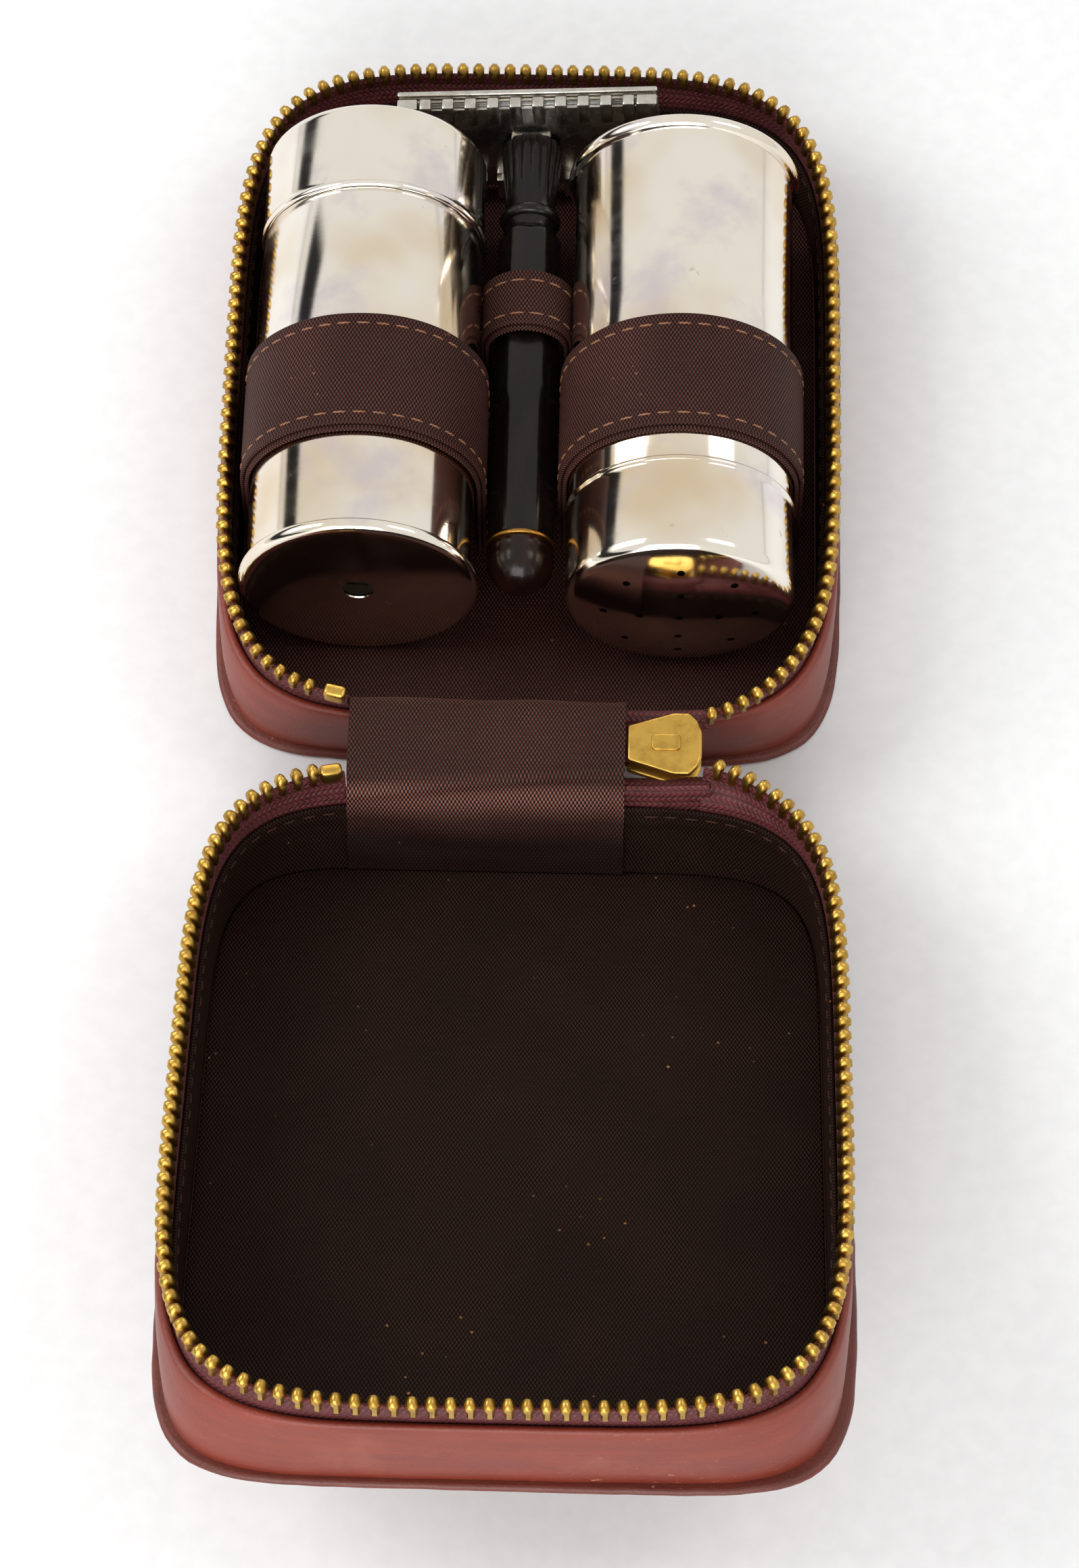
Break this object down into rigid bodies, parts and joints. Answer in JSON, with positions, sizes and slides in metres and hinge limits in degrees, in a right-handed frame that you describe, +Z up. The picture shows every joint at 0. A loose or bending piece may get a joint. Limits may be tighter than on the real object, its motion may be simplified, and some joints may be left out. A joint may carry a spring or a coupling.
{
  "type": "travel shaving kit",
  "caption": "Leather zip case that opens out on a cloth hinge, with looped plated tins for soap and brush and a comb safety razor in one half.",
  "frame": {"origin": "on the table, midway between the halves of the open case", "axes": "+X to the right, +Y towards the half with the tools, +Z up"},
  "size_m": [0.0984, 0.2458, 0.0533],
  "materials": {
    "case_leather": "smooth red-brown leather with a soft sheen",
    "stiff_board": "plain grey-brown board",
    "lining_twill": "dark brown twill with a satin sheen",
    "zip_tape": "maroon herringbone tape",
    "zip_brass": "worn yellow brass",
    "tin_plate": "silver plate with a warm tarnish and fine scratches",
    "shaving_soap": "smooth hard soap",
    "brush_wood": "turned and varnished",
    "brush_hair": "fine bristle",
    "handle_bakelite": "polished dark phenolic",
    "razor_plate": "worn nickel plate",
    "blade_steel": "thin blade steel"
  },
  "bodies": {
    "case_base": {"base_bottom_panel": "case_leather", "base_side_wall": "case_leather", "base_floor_board": "stiff_board", "base_floor_lining": "lining_twill", "base_wall_lining": "lining_twill", "base_zip_tape": "zip_tape", "base_zip_teeth": "zip_brass", "base_zip_stop": "zip_brass", "base_hinge_strip": "lining_twill", "left_tin_loop": "lining_twill", "right_tin_loop": "lining_twill", "razor_loop": "lining_twill", "razor_comb_plate": "razor_plate", "razor_blade": "blade_steel", "razor_cap": "razor_plate"},
    "hinge_spine": {"hinge_leather": "case_leather", "zip_tail": "zip_tape", "zip_bottom_stop": "zip_brass", "zip_slider": "zip_brass"},
    "case_lid": {"lid_bottom_panel": "case_leather", "lid_side_wall": "case_leather", "lid_floor_board": "stiff_board", "lid_floor_lining": "lining_twill", "lid_wall_lining": "lining_twill", "lid_zip_tape": "zip_tape", "lid_zip_teeth": "zip_brass", "lid_zip_stop": "zip_brass", "lid_hinge_strip": "lining_twill"},
    "zip_pull": {"zip_pull": "zip_brass"},
    "left_tin": {"left_tin_body": "tin_plate", "shaving_stick": "shaving_soap"},
    "left_cap": {"left_tin_cap": "tin_plate"},
    "right_tin": {"right_tin_body": "tin_plate", "brush_handle": "brush_wood", "brush_knot": "brush_hair"},
    "right_cap": {"right_tin_cap": "tin_plate"},
    "razor_grip": {"razor_handle": "handle_bakelite", "handle_band": "zip_brass", "handle_knob": "handle_bakelite"}
  },
  "joints": [
    {"name": "base_fold", "type": "hinge", "parent": "case_base", "child": "hinge_spine", "pos_m": [0, 0.006, 0.0156], "axis": [-1, 0, 0], "range_deg": [0, 90], "deforming": ["base_hinge_strip", "lid_hinge_strip"]},
    {"name": "lid_fold", "type": "hinge", "parent": "hinge_spine", "child": "case_lid", "pos_m": [0, -0.006, 0.0156], "axis": [-1, 0, 0], "range_deg": [0, 74.5], "deforming": ["lid_hinge_strip", "base_hinge_strip"]},
    {"name": "pull_swing", "type": "hinge", "parent": "hinge_spine", "child": "zip_pull", "pos_m": [0.02196, 0, 0.01445], "axis": [0, -1, 0], "range_deg": [-55, 55]},
    {"name": "left_tin_turn", "type": "hinge", "parent": "case_base", "child": "left_tin", "pos_m": [-0.02555, 0.06, 0.021], "axis": [0, 1, 0], "continuous": true},
    {"name": "left_cap_turn", "type": "hinge", "parent": "left_tin", "child": "left_cap", "pos_m": [-0.02555, 0.09, 0.021], "axis": [0, 1, 0], "continuous": true},
    {"name": "right_tin_turn", "type": "hinge", "parent": "case_base", "child": "right_tin", "pos_m": [0.02335, 0.06, 0.021], "axis": [0, 1, 0], "continuous": true},
    {"name": "right_cap_pull", "type": "slide", "parent": "right_tin", "child": "right_cap", "axis": [0, -1, 0], "range_m": [0, 0.0065]},
    {"name": "handle_turn", "type": "hinge", "parent": "case_base", "child": "razor_grip", "pos_m": [-0.0011, 0.07, 0.01692], "axis": [0, 1, 0], "continuous": true}
  ],
  "couplings": [
    {"joint": "lid_fold", "follows": "base_fold", "ratio": 0.82778}
  ]
}
